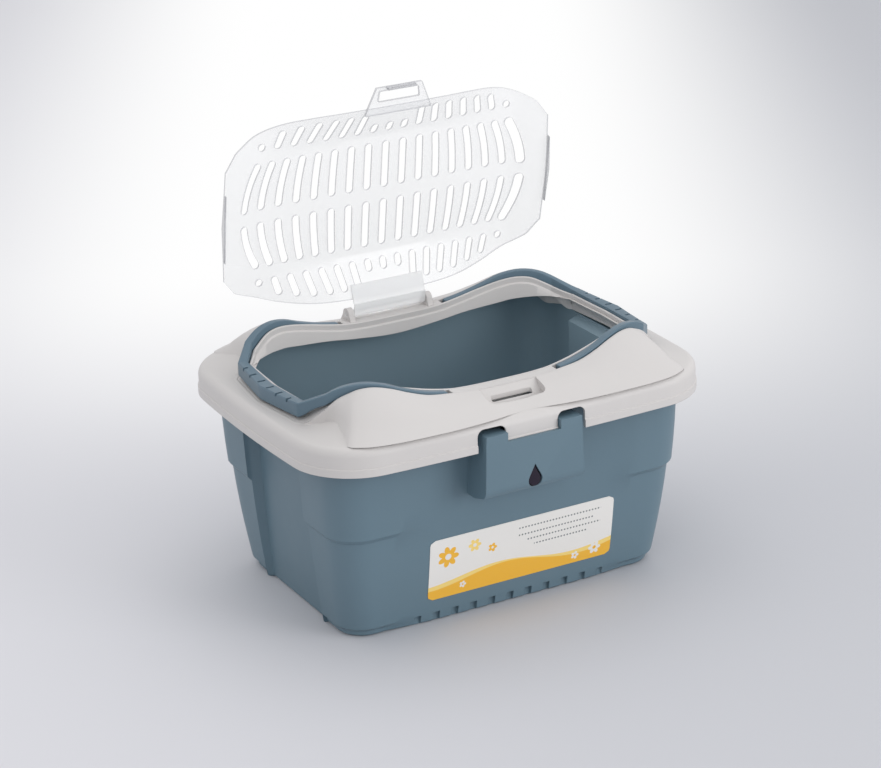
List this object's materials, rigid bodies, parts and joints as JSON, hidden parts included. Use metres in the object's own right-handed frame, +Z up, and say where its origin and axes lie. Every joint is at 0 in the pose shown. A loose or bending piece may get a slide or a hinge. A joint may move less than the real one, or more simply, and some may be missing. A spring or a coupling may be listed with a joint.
{
  "type": "small animal carrier",
  "caption": "Carrier with a tapered tub, a saddle-topped frame, two fold-down handles and a clear grille lid on a rear hinge with a latch loop.",
  "frame": {"origin": "centre of the tub's underside, where it rests on the floor", "axes": "+Z up, +X to the right along the length, the front with the latch slot and label at -Y"},
  "size_m": [0.3984, 0.3068, 0.433],
  "materials": {
    "tub": "satin blue-grey moulded plastic",
    "frame": "satin off-white moulded plastic",
    "handle": "satin blue-grey moulded plastic",
    "lid": "clear moulded plastic",
    "hinge": "opaque white moulded plastic",
    "stud": "glossy dark purple plastic",
    "label": "printed film, white over orange-yellow"
  },
  "bodies": {
    "tub": {"tub": "tub", "strap_stud_front": "stud", "strap_stud_rear": "stud", "front_label": "label"},
    "frame": {"top_frame": "frame"},
    "lid": {"lid_grille": "lid", "lid_hinge": "hinge"},
    "handle_left": {"handle_left": "handle"},
    "handle_right": {"handle_right": "handle"}
  },
  "joints": [
    {"name": "frame_lift", "type": "slide", "parent": "tub", "child": "frame", "axis": [0, 0, 1], "range_m": [0, 0.05]},
    {"name": "lid_shut", "type": "hinge", "parent": "frame", "child": "lid", "pos_m": [0, 0.107, 0.212], "axis": [1, 0, 0], "range_deg": [0, 80.5]},
    {"name": "handle_left_raise", "type": "hinge", "parent": "frame", "child": "handle_left", "pos_m": [-0.059, 0, 0.205], "axis": [0, 1, 0], "range_deg": [0, 112]},
    {"name": "handle_right_raise", "type": "hinge", "parent": "frame", "child": "handle_right", "pos_m": [0.059, 0, 0.205], "axis": [0, -1, 0], "range_deg": [0, 112]}
  ]
}
